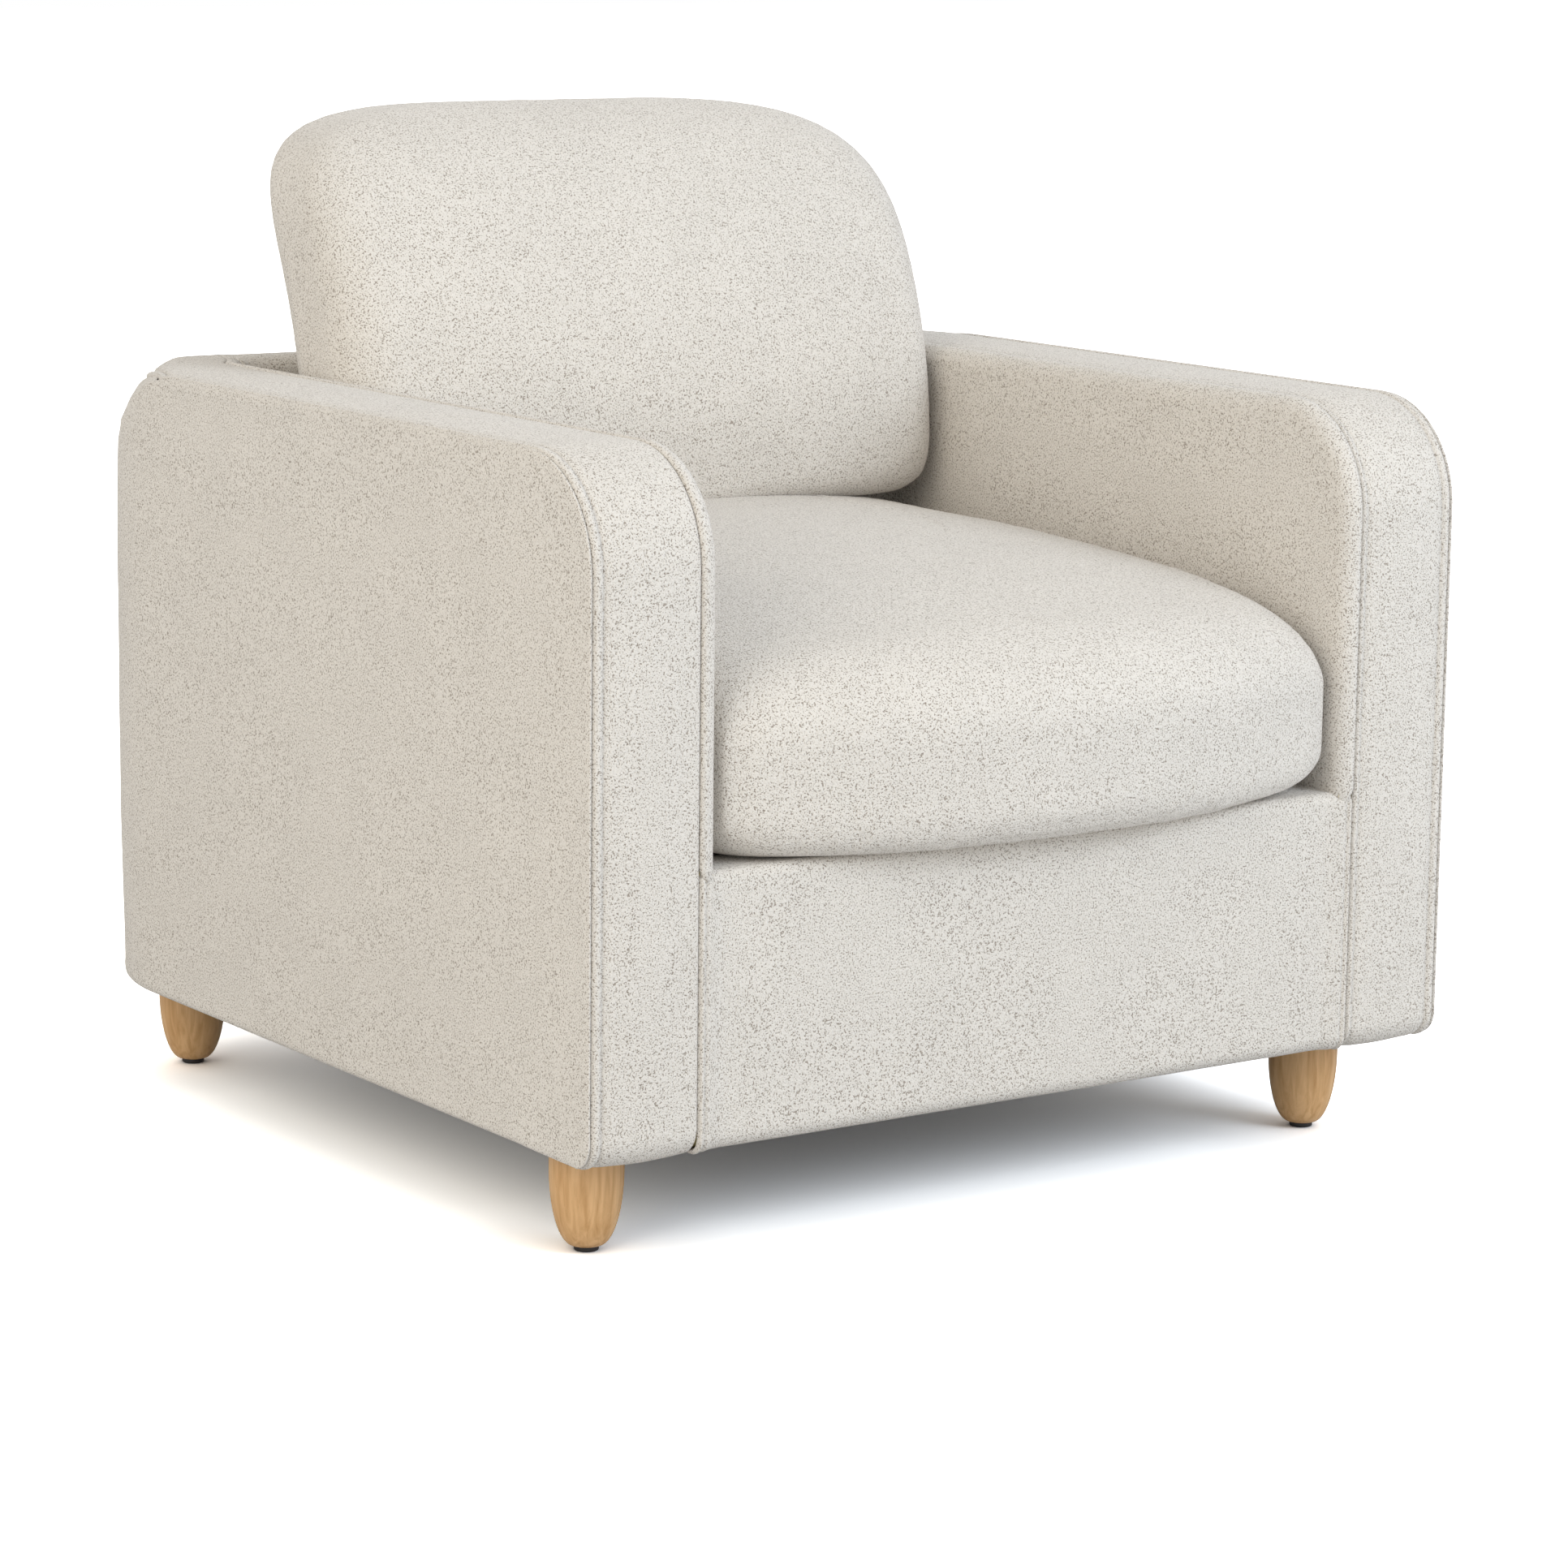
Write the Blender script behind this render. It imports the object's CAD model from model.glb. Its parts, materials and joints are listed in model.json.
import json
import math

import bmesh
import bpy
from bpy.props import FloatProperty, FloatVectorProperty, IntProperty, PointerProperty, StringProperty
from mathutils import Matrix, Vector, noise


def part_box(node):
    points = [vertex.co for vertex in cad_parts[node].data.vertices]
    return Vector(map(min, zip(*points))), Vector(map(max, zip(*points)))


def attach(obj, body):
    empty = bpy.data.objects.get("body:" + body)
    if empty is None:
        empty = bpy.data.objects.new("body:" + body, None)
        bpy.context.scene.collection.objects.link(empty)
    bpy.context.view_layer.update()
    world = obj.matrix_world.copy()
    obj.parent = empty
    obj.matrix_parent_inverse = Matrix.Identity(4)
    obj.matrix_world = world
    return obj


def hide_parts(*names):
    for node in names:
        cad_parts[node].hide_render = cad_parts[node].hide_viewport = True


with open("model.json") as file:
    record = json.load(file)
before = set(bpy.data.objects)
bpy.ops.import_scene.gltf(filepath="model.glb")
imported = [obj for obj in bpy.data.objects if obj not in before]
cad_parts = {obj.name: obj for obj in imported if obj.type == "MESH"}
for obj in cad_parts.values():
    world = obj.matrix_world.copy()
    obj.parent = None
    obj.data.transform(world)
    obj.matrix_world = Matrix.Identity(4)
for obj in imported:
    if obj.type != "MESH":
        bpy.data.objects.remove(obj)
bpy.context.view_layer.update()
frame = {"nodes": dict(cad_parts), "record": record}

bl_info = {
    "name": "Upholstered armchair",
    "version": (1, 0, 0),
    "blender": (4, 5, 0),
    "location": "View3D > Sidebar > Armchair",
    "description": "Dresses the armchair frame in sewn boucle, loose cushions and turned oak legs",
    "category": "Object",
}

MM = 0.001


def low(node):
    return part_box(node)[0]


def high(node):
    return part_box(node)[1]


# Driving places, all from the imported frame
HALF_WIDTH = high("right_arm_outer_cover").x
FRONT_Y = low("left_arm_gusset").y
REAR_Y = high("outside_back_cover").y
UNDER_Z = low("left_arm_gusset").z
TOP_Z = high("left_arm_gusset").z
INNER_X = low("right_arm_inner_cover").x
BACK_Y = low("inside_back_cover").y
DECK_Z = high("deck_cloth").z
APRON_Y = low("apron_cover").y
GLIDE_TOP = low("front_left_leg").z
SEAT_LOW, SEAT_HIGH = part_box("seat_cushion_cover")
BACK_LOW, BACK_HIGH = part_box("back_cushion_cover")
MID_Y = (FRONT_Y + REAR_Y) / 2

# Fixed sizes of the form, in metres
FADE_RADIUS = 0.190  # arcs that the rounding over a rear corner follows
TOP_BLEND = 0.006  # fall at which two roundings of the top run into one
SEAM_FADE = 0.012  # fall over which a corner seam turns into a flat one
DEEPEST_LEAN = 0.16  # furthest that the rounded top lies inside the wall
SEAM_LEAD = 0.05  # how far before the corner the outer seam starts to drop
FOOT_ROUND = 0.0065  # radius of the fold at an arm's foot
FOOT_UNDER = 0.034  # how far the arm panel turns under the chair
BACK_UNDER = 0.03  # how far the outside back turns under the chair
FRONT_TUCK = 0.05  # how far the covers of the front run on under the chair and over the deck
BROAD_WAVE = 0.16  # length of the broad waves in a stretched panel
FINE_WAVE = 0.05  # length of its fine waves
SIDE_GAP = 0.0008  # room between a cushion and its neighbours
REAR_GAP = 0.0015  # room behind the seat cushion
FOOT_GAP = 0.0004  # room under a cushion
SEAT_SIDE = 0.0026  # how far the seat cushion's form stays inside the arms before it is filled
SEAT_SETBACK = 0.0060  # how far its front lies behind the arm fronts, without the bow
FOAM_DEPTH = 0.0016  # how far the frame's foam lies under its covers
CORE_DEPTH = 0.026  # how far a cushion's filling lies under its cover
FILL_ROOM = 0.0015  # room that the filling's swell takes up

# Counts: halvings of a search, points across a gusset, passes of evening, points round a cushion
HALVINGS = 14
CROSSINGS = 48
EVENING = 40
SEAT_POINTS = 160
BACK_POINTS = 112

# Powers of the cushions' rounded outlines; a higher power has squarer corners
SEAT_REAR_POWER = 16
SEAT_FRONT_POWERS = (11, 50)  # at the full outline, and where its edge is rolled in
BACK_LEFT_POWER = 4.5
BACK_RIGHT_POWER = 4.2
BACK_FOOT_POWER = 12


# ---------- sizes and colours that a user would change ----------


def length(name, description, default):
    return FloatProperty(
        name=name, description=description, default=default, unit="LENGTH", subtype="DISTANCE")


def colour(name, description, default):
    return StringProperty(name=name, description=description + ", as an sRGB hex value", default=default)


class ArmchairBodySizes(bpy.types.PropertyGroup):
    front_top_radius: length("Front top radius", "Radius of the arm's front top corner", 0.090)
    front_bottom_radius: length("Front bottom radius", "Radius of the arm's front bottom corner", 0.022)
    rear_top_radius: length("Rear top radius", "Radius of the rear top edge", 0.110)
    rear_bottom_radius: length("Rear bottom radius", "Radius of the rear bottom edge", 0.070)
    rear_corner_radius: length("Rear corner radius", "Radius of the rear corners seen from above", 0.190)
    corner_reach: length("Corner reach", "How far in along its diagonal a rear corner is rounded", 0.055)
    corner_drop: length("Corner drop", "How far down a rear corner is rounded", 0.115)
    rear_seam_drop: length("Rear seam drop", "Height of the seam across the back, below the top", 0.020)
    outer_seam: length("Outer seam", "Distance of the outer seam from the outer face", 0.0032)
    inner_seam: length("Inner seam", "Distance of the inner seam from the inner face", 0.017)
    inner_roll: length("Inner roll", "Radius of the edge rolled over to the inner face", 0.0150)
    inner_corner: length("Inner corner", "Radius of the padding in the rear corners of the seat bay", 0.040)
    groove: length("Groove", "Depth of a seam below the fabric", 0.0025)
    outer_topstitch: length("Outer topstitch", "Distance of the topstitch from the outer seam", 0.0095)
    inner_topstitch: length("Inner topstitch", "Distance of the topstitch from the inner seam", 0.0062)
    fabric: length("Fabric", "Thickness of the boucle", 0.0016)
    undulation: length("Undulation", "Height of the soft waves in the stretched fabric", 0.0009)


class ArmchairCushionSizes(bpy.types.PropertyGroup):
    seat_crown: length("Seat crown", "Rise of the seat cushion in the middle", 0.024)
    seat_bow: length("Seat bow", "How far the middle of the seat's front bows forward", 0.054)
    seat_droop: length("Seat droop", "How far the seat's front hangs over the front rail", 0.009)
    back_side: length("Back side", "Thickness of the back cushion along its sides", 0.131)
    back_crown: length("Back crown", "Rise of the front of the back cushion", 0.034)
    back_crown_rear: length("Back rear crown", "Rise of the rear of the back cushion", 0.070)
    voxel: length("Voxel", "Size of the faces of a cushion before it is filled", 0.007)
    swell: length("Swell", "Furthest that the filling moves the fabric", 0.022)
    share: FloatProperty(
        name="Share", description="Share of the simulated movement that the filling allows", default=0.2)
    pull: length("Pull", "Furthest that the fabric pulls in between the corners", 0.004)
    pressure: FloatProperty(name="Pressure", description="Pressure of the filling", default=4.0)
    frames: IntProperty(name="Frames", description="Frames of cloth simulation", default=15)


class ArmchairColours(bpy.types.PropertyGroup):
    boucle: colour("Boucle", "Loops of the boucle", "#E8E4DE")
    boucle_pit: colour("Boucle pit", "Shadowed pits between the loops", "#968C81")
    boucle_fleck: colour("Boucle fleck", "Warm flecks in the yarn", "#D9D3CA")
    oak: colour("Oak", "Light growth of the oak", "#E2B885")
    oak_grain: colour("Oak grain", "Dark growth of the oak", "#C39560")
    glide: colour("Glide", "Moulded nylon glides", "#2B2828")
    dust: colour("Dust cloth", "Spun dust cloth", "#26262A")
    pine: colour("Pine", "Sawn pine", "#D9B987")
    birch: colour("Birch", "Birch plywood", "#CBA873")
    foam: colour("Foam", "Cut polyurethane foam", "#EFDFA8")
    felt: colour("Felt", "Needled felt", "#8D8A84")
    webbing: colour("Webbing", "Elastic webbing", "#6D5F52")
    steel: colour("Steel", "Bright drawn steel", "#A7A9AB")
    zip_tape: colour("Zip tape", "Woven zip tape", "#D8D3C8")


class ArmchairStage(bpy.types.PropertyGroup):
    yaw: FloatProperty(
        name="Yaw", description="Turn of the view", default=math.radians(34.588), subtype="ANGLE")
    pitch: FloatProperty(
        name="Pitch", description="Tilt of the view", default=math.radians(10.537), subtype="ANGLE")
    roll: FloatProperty(
        name="Roll", description="Roll of the camera", default=math.radians(0.640), subtype="ANGLE")
    camera: FloatVectorProperty(
        name="Camera", description="Place of the camera", default=(-2.3689, -3.5068, 1.0718),
        subtype="TRANSLATION", size=3)
    lens: FloatProperty(
        name="Lens", description="Focal length in millimetres on a 36 mm sensor", default=112.84)


def body_sizes():
    return bpy.context.scene.armchair_body


def cushion_sizes():
    return bpy.context.scene.armchair_cushions


# ---------- small helpers ----------


def ease(t):
    t = min(max(t, 0.0), 1.0)
    return t * t * (3 - 2 * t)


def mix(a, b, t):
    return a + (b - a) * t


def span(start, end, steps):
    """Evenly spaced numbers from start to end."""
    return [mix(start, end, k / steps) for k in range(steps + 1)]


def turned(centre, radius, start, end, steps):
    """Places on an arc between two angles in degrees, as (point, outward direction)."""
    places = []
    for degrees in span(start, end, steps):
        out = (math.cos(math.radians(degrees)), math.sin(math.radians(degrees)))
        places.append(((centre[0] + radius * out[0], centre[1] + radius * out[1]), out))
    return places


def arc(centre, radius, start, end, steps):
    """Points on an arc between two angles in degrees."""
    return [point for point, _ in turned(centre, radius, start, end, steps)]


def without_repeats(points):
    kept = [points[0]]
    for p in points[1:]:
        if (Vector(p[:2]) - Vector(kept[-1][:2])).length > 1e-6:
            kept.append(p)
    return kept


def wave(point, scale, seed):
    """Smooth noise from -1 to 1 with waves about scale metres long."""
    return noise.noise(Vector(point) / scale + Vector((seed, 2.3 * seed, 0.7 * seed)))


def linear(hex_colour):
    """Turns an sRGB hex value to linear RGBA."""
    channels = [int(hex_colour[k:k + 2], 16) / 255 for k in (1, 3, 5)]
    return tuple(c / 12.92 if c <= 0.04045 else ((c + 0.055) / 1.055) ** 2.4 for c in channels) + (1.0,)


def grid_faces(rows, count, closed):
    """Faces between rows of points; a closed row is a ring."""
    return [
        (j * count + k, j * count + (k + 1) % count, (j + 1) * count + (k + 1) % count, (j + 1) * count + k)
        for j in range(rows - 1)
        for k in range(count if closed else count - 1)
    ]


def new_object(name, points, faces):
    mesh = bpy.data.meshes.new(name)
    mesh.from_pydata([tuple(p) for p in points], [], faces)
    mesh.validate()
    return in_scene(name, mesh)


def in_scene(name, data):
    """A new object of the scene that shows a mesh, a lamp or a camera."""
    obj = bpy.data.objects.new(name, data)
    bpy.context.scene.collection.objects.link(obj)
    return obj


def smooth(obj):
    obj.data.polygons.foreach_set("use_smooth", [True] * len(obj.data.polygons))


def weld(obj, inside, near=0.00001):
    """Merges points that lie near each other and turns the faces away from a point inside."""
    bm = bmesh.new()
    bm.from_mesh(obj.data)
    bmesh.ops.remove_doubles(bm, verts=bm.verts, dist=near)
    bmesh.ops.recalc_face_normals(bm, faces=bm.faces)
    facing = sum(f.calc_area() * f.normal.dot(f.calc_center_median() - Vector(inside)) for f in bm.faces)
    if facing < 0:
        bmesh.ops.reverse_faces(bm, faces=bm.faces)
    bm.to_mesh(obj.data)
    bm.free()
    smooth(obj)
    return obj


def cover(obj, material):
    obj.data.materials.clear()
    obj.data.materials.append(material)


def thicken(obj, thickness):
    """Gives a fabric panel its thickness, away from the side that shows."""
    modifier = obj.modifiers.new("Fabric", "SOLIDIFY")
    modifier.thickness = thickness
    modifier.offset = -1
    modifier.use_even_offset = False


def dress(obj, material, body, slot, *nodes):
    """Finishes a piece: its material, the body it rides on and the CAD nodes it stands for."""
    cover(obj, material)
    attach(obj, body)
    if nodes:
        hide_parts(*nodes)
    return obj


def sew(pieces):
    """Finishes sewn covers of the frame, listed as (piece, the CAD node it stands for)."""
    for piece, node in pieces:
        thicken(piece, body_sizes().fabric)
        dress(piece, material("boucle"), "frame", "cover_fabric", node)


# ---------- form of the arms and the back ----------


def rounded_drop(past, reach, height):
    """Fall of a rounded edge, past metres beyond the start of its curve, never quite vertical."""
    share = min(max(past / reach, 0.0), 0.995)
    return height * (1 - math.sqrt(1 - share ** 2))


def corner_past(x, y):
    """How far a point lies past the start of the rounding of a rear corner, on arcs of FADE_RADIUS."""
    sizes = body_sizes()
    centre_x, centre_y = (c - FADE_RADIUS * math.sqrt(0.5) for c in corner_centre())
    along = math.hypot(max(abs(x) - centre_x, 0.0), max(y - centre_y, 0.0))
    return along - (sizes.rear_corner_radius + FADE_RADIUS - sizes.corner_reach)


def top_height(x, y):
    """Height of the top: it falls over the rear edge and over the rear corners."""
    sizes = body_sizes()
    edge_r = sizes.rear_top_radius
    behind = rounded_drop(y - (REAR_Y - edge_r), edge_r, edge_r)
    corner = rounded_drop(corner_past(x, y), sizes.corner_reach, sizes.corner_drop)
    beyond = math.hypot(max(behind - TOP_BLEND, 0.0), max(corner - TOP_BLEND, 0.0))
    return TOP_Z - beyond - min(max(behind, corner), TOP_BLEND)


def top_normal(x, y):
    step = 0.0004
    slope_x = (top_height(x + step, y) - top_height(x - step, y)) / (2 * step)
    slope_y = (top_height(x, y + step) - top_height(x, y - step)) / (2 * step)
    return Vector((-slope_x, -slope_y, 1)).normalized()


def bottom_height(y):
    """Height of the underside, rising at the rear."""
    radius = body_sizes().rear_bottom_radius
    past = y - (REAR_Y - radius)
    if past <= 0:
        return UNDER_Z
    return UNDER_Z + radius - math.sqrt(max(radius ** 2 - past ** 2, 0.0))


def sharpness(point):
    """1 where the wall meets a flat top in a corner seam, and 0 where the top is rounded over it."""
    return 1 - ease((TOP_Z - top_height(point.x, point.y)) / SEAM_FADE)


def wall_lean(point, out, z):
    """How far inside the outer wall the rounded top lies at a height, along the wall's outward direction."""
    z -= body_sizes().outer_seam * sharpness(point)
    if top_height(point.x, point.y) >= z:
        return 0.0
    near, far = 0.0, DEEPEST_LEAN
    for _ in range(HALVINGS):
        lean = (near + far) / 2
        at = point - out * lean
        if top_height(at.x, at.y) < z:
            near = lean
        else:
            far = lean
    return far


def seam_drop(q):
    """How far below the top the outer seam is sewn, q metres round the wall: lower across the back."""
    sizes = body_sizes()
    past = min(q, 2 * wall_half() - q) - wall_side()
    turned_in = (past + SEAM_LEAD) / (0.6 * wall_corner() + SEAM_LEAD)
    return sizes.outer_seam * 0.5 + (sizes.rear_seam_drop - sizes.outer_seam * 0.5) * ease(turned_in)


def wall_side():
    """Length of the straight part of an outer wall."""
    return REAR_Y - body_sizes().rear_corner_radius - FRONT_Y


def wall_corner():
    """Length of the outer wall round a rear corner."""
    return body_sizes().rear_corner_radius * math.pi / 2


def wall_half():
    """Length of the outer wall from the left front to the middle of the back."""
    return wall_side() + wall_corner() + corner_centre()[0]


def corner_centre():
    radius = body_sizes().rear_corner_radius
    return HALF_WIDTH - radius, REAR_Y - radius


def wall_at(q):
    """Point and outward direction on the outer wall, q metres round it from the left front."""
    radius = body_sizes().rear_corner_radius
    if q > wall_half():
        point, out = wall_at(2 * wall_half() - q)
        return Vector((-point.x, point.y)), Vector((-out.x, out.y))
    if q <= wall_side():
        return Vector((-HALF_WIDTH, FRONT_Y + q)), Vector((-1, 0))
    if q <= wall_side() + wall_corner():
        turn = (q - wall_side()) / radius
        out = Vector((-math.cos(turn), math.sin(turn)))
        return Vector((-corner_centre()[0], corner_centre()[1])) + out * radius, out
    along = q - wall_side() - wall_corner()
    return Vector((-corner_centre()[0] + along, REAR_Y)), Vector((0, 1))


def wall_place(q, z, height):
    """Place on the outer wall: q round it, z up, and height off it."""
    point, out = wall_at(q)
    lean = wall_lean(point, out, z)
    return Vector((*(point + out * (height - lean)), z))


def seam_point(q):
    """Plan point of the outer seam, q metres round the wall."""
    point, out = wall_at(q)
    return point - out * max(wall_lean(point, out, TOP_Z - seam_drop(q)), body_sizes().outer_seam)


def seam_height(q):
    """Height of the outer seam, q metres round the wall."""
    at = seam_point(q)
    return top_height(at.x, at.y)


def back_seam_q():
    """Where the outer arm panel meets the outside back, level with the inner face of the arm."""
    radius = body_sizes().rear_corner_radius
    return wall_side() + radius * math.acos((INNER_X - corner_centre()[0]) / radius)


# ---------- edges of sewn panels ----------
# A section lists places across an edge as (distance into the panel, height off its face).
# Each has the same number of places, so that one kind of edge can run into the next.

SPREAD = [0.0110, 0.0145, 0.0180]  # the plain cloth past a seam


def rolled(radius, seam_depth, steps):
    """Quarter circle from the face behind the edge on to the panel."""
    quarter = turned((0, 0), radius, 0, 90, steps)
    return [(radius * (1 - c), -seam_depth + radius * s) for _, (c, s) in quarter]


def seam_edge():
    """A corner seam: the panel comes out of the groove and turns a small corner."""
    groove = body_sizes().groove
    inset = body_sizes().outer_seam
    return [
        (groove, -inset), (groove * 0.55, -inset * 0.86), (groove * 0.22, -inset * 0.6),
        (groove * 0.12, -inset * 0.36), (groove * 0.4, -inset * 0.14), (groove * 0.95, -inset * 0.02),
        (groove * 1.7, 0.0001), (0.0065, 0.0003), (0.0090, 0.0002),
    ] + [(d, 0.0) for d in SPREAD]


def butt_edge():
    """A flat seam: the panel dips into the groove."""
    groove = body_sizes().groove
    return [
        (0.0, -groove), (0.0002, -groove * 0.75), (0.0006, -groove * 0.45), (0.0012, -groove * 0.2),
        (0.0020, -groove * 0.05), (0.0032, 0.0002), (0.0048, 0.0004), (0.0068, 0.0004), (0.0090, 0.0002),
    ] + [(d, 0.0) for d in SPREAD]


def topstitched_edge():
    """A flat seam with a raised band beside it, held by a topstitch."""
    groove = body_sizes().groove
    stitch = body_sizes().inner_topstitch
    return [
        (0.0, -groove), (0.0006, -groove * 0.7), (0.0012, -groove * 0.3), (0.0018, 0.0001),
        (stitch * 0.42, 0.0009), (stitch * 0.66, 0.0007), (stitch * 0.86, -0.0007), (stitch, -0.0016),
        (stitch * 1.16, -0.0007), (stitch * 1.6, 0.0002), (0.018, 0.0002), (0.027, 0.0),
    ]


def folded_edge(radius, under):
    """A folded edge: the fabric comes up from under the chair round a soft corner."""
    turn = rolled(radius, radius, 6)
    tail = [(radius + 0.0030, 0.0003), (radius + 0.0065, 0.0), (radius + 0.0105, 0.0)]
    return [(0.0, -under), (0.0, -under * 0.5)] + turn + tail


def inner_roll_edge():
    """From the inner seam over the rolled edge on to the inner face."""
    sizes = body_sizes()
    bulge = 0.0015
    turn = []
    for _, (c, s) in turned((0, 0), sizes.inner_roll, 0, 90, 7):
        reach = sizes.inner_roll + bulge * c
        turn.append((sizes.inner_roll - reach * c, reach * s - sizes.inner_roll))
    start = [(sizes.groove, -sizes.inner_seam - 0.0003), (sizes.groove * 0.3, -sizes.inner_seam + 0.0002)]
    return start + turn + [(sizes.inner_roll + 0.006, 0.0), (sizes.inner_roll + 0.014, 0.0)]


def edge(points, section):
    return [(q, z, section) for q, z in points]


def blended(first, second, share):
    """A section between two others."""
    return [(mix(a[0], b[0], share), mix(a[1], b[1], share)) for a, b in zip(first, second)]


def soften_sections(loop, passes):
    """Blends the sections of neighbouring edge points, so that one kind of edge runs into the next."""
    sections = [p[2] for p in loop]
    for _ in range(passes):
        count = len(sections)
        sections = [
            [
                tuple((sections[k - 1][j][i] + 2 * sections[k][j][i] + sections[(k + 1) % count][j][i]) / 4
                      for i in range(2))
                for j in range(len(sections[k]))
            ]
            for k in range(count)
        ]
    return sections


def inward(loop, k):
    """Mitred direction into the panel at an edge point; the loop runs clockwise."""
    here = Vector(loop[k][:2])
    before = (here - Vector(loop[k - 1][:2])).normalized()
    after = (Vector(loop[(k + 1) % len(loop)][:2]) - here).normalized()
    first = Vector((before.y, -before.x))
    second = Vector((after.y, -after.x))
    return (first + second) / max(1 + first.dot(second), 0.4)


def nearest_corners(loop):
    """For each edge point, the nearest sharp corner of the panel and how far along the edge it lies."""
    sharp, reach = math.radians(40), 0.05
    count = len(loop)
    flat = [Vector(p[:2]) for p in loop]
    steps = [(flat[(k + 1) % count] - flat[k]).length for k in range(count)]
    turns = [(flat[k] - flat[k - 1]).angle(flat[(k + 1) % count] - flat[k]) for k in range(count)]
    best = [(k, math.inf) for k in range(count)]
    for corner in [k for k in range(count) if turns[k] > sharp]:
        for way in (1, -1):
            gone, k = 0.0, corner
            while gone < reach:
                if gone < best[k][1]:
                    best[k] = (corner, gone)
                gone += steps[k] if way > 0 else steps[k - 1]
                k = (k + way) % count
    return best


def panel(name, loop, spine, place, inside, seed, puff, fill_rings=14, passes=3):
    """A sewn panel: rings follow its edge, then close on a spine across its middle.

    The spine is (start, end, height), and puff is how far the middle stands off the face.
    """
    sections = soften_sections(loop, passes)
    spine_low, spine_high, spine_z = spine
    rings = len(sections[0])
    count = len(loop)
    nearest = nearest_corners(loop)
    points = []
    for j in range(rings):
        for k in range(count):
            corner, away = nearest[k]
            at = corner if away < sections[k][j][0] else k
            distance, height = sections[at][j]
            into = inward(loop, at) * distance
            points.append((loop[at][0] + into.x, loop[at][1] + into.y, height))
    last = points[-count:]
    for j in range(1, fill_rings + 1):
        share = j / fill_rings
        for k, (q, z, _) in enumerate(loop):
            end = Vector((min(max(q, spine_low), spine_high), spine_z))
            at = Vector(last[k][:2]).lerp(end, share)
            points.append((at.x, at.y, puff * ease(share * 1.6)))
    placed = []
    for j, (q, z, height) in enumerate(points):
        free = ease((j // count - rings * 0.6) / 4)
        waves = wave((q, z, seed), BROAD_WAVE, seed) + 0.4 * wave((q, z, 1), FINE_WAVE, seed)
        placed.append(place(q, z, height + body_sizes().undulation * free * waves))
    obj = new_object(name, placed, grid_faces(rings + fill_rings, count, True))
    return weld(obj, inside, near=0.0002)


# ---------- the fabric panels ----------


def mirrored(point):
    return Vector((-point.x, point.y, point.z))


def on_side(place, side):
    """The placing of a piece of the left arm, or its mirror image for the right arm."""
    return place if side < 0 else (lambda q, z, height: mirrored(place(q, z, height)))


def side_word(side):
    return "left" if side < 0 else "right"


def arm_outer_panel(side):
    """Outer face of an arm, which runs on round the rear corner as far as the outside back."""
    sizes = body_sizes()
    top_r, bottom_r = sizes.front_top_radius, sizes.front_bottom_radius
    end = back_seam_q()
    seam, fold, butt = seam_edge(), folded_edge(FOOT_ROUND, FOOT_UNDER), butt_edge()
    along = span(top_r, end, 90)

    def foot_z(q):
        return bottom_height(wall_at(q)[0].y)

    loop = edge([(0.0, z) for z in span(UNDER_Z + bottom_r, TOP_Z - top_r, 30)], seam)
    loop += edge(arc((top_r, TOP_Z - top_r), top_r, 180, 90, 24)[1:], seam)
    loop += [(q, seam_height(q), blended(butt, seam, sharpness(wall_at(q)[0]))) for q in along[1:]]
    loop += edge([(end, z) for z in span(seam_height(end), foot_z(end), 30)[1:]], butt)
    loop += edge([(q, foot_z(q)) for q in reversed(along[:-1])], fold)
    loop += edge(arc((bottom_r, UNDER_Z + bottom_r), bottom_r, 270, 180, 12)[:-1], seam)
    loop = without_repeats(loop)
    middle = (TOP_Z + UNDER_Z) / 2
    name = side_word(side) + "_arm_outer_cover_sewn"
    return panel(name, loop, (0.16, end - 0.12, middle), on_side(wall_place, side),
                 (side * 0.3, 0, middle), 3 + side, puff=0.002)


def back_turn(q):
    """Angle of the rounded rear bottom edge that the outside back covers, q metres round the wall."""
    radius = body_sizes().rear_bottom_radius
    return math.asin(min((wall_at(q)[0].y - (REAR_Y - radius)) / radius, 1.0))


def back_place(q, z, height):
    """Place on the outside back: up the wall, and below its foot along the rounded bottom edge."""
    point = wall_at(q)[0]
    foot = bottom_height(point.y)
    if z >= foot:
        return wall_place(q, z, height)
    radius = body_sizes().rear_bottom_radius
    angle = back_turn(q) - (foot - z) / radius
    centre = Vector((point.x, REAR_Y - radius, UNDER_Z + radius))
    normal = Vector((0, math.sin(max(angle, 0.0)), -math.cos(max(angle, 0.0))))
    return centre + normal * (radius + height) + Vector((0, min(angle, 0.0) * radius, 0))


def outside_back_panel():
    """Outside of the back, wrapped under the chair at its foot."""
    start = back_seam_q()
    end = 2 * wall_half() - start
    butt = butt_edge()
    along = span(start, end, 70)

    def foot_line(q):
        return bottom_height(wall_at(q)[0].y) - body_sizes().rear_bottom_radius * back_turn(q) - BACK_UNDER

    loop = edge([(start, z) for z in span(foot_line(start), seam_height(start), 36)], butt)
    loop += edge([(q, seam_height(q)) for q in along[1:]], butt)
    loop += edge([(end, z) for z in span(seam_height(end), foot_line(end), 36)[1:]], butt)
    loop += edge([(q, foot_line(q)) for q in reversed(along[1:-1])], butt)
    middle = (TOP_Z + UNDER_Z) / 2
    return panel("outside_back_cover_sewn", loop, (start + 0.12, end - 0.12, middle), back_place,
                 (0, 0, middle), 11, fill_rings=18, puff=0.003)


def fill_radius(z):
    """Radius of the padding in the bay's rear corners: full at the top, and small below the cushions."""
    small, below, over = 0.006, 0.13, 0.12
    return mix(small, body_sizes().inner_corner, ease((z - TOP_Z + below) / over))


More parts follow.
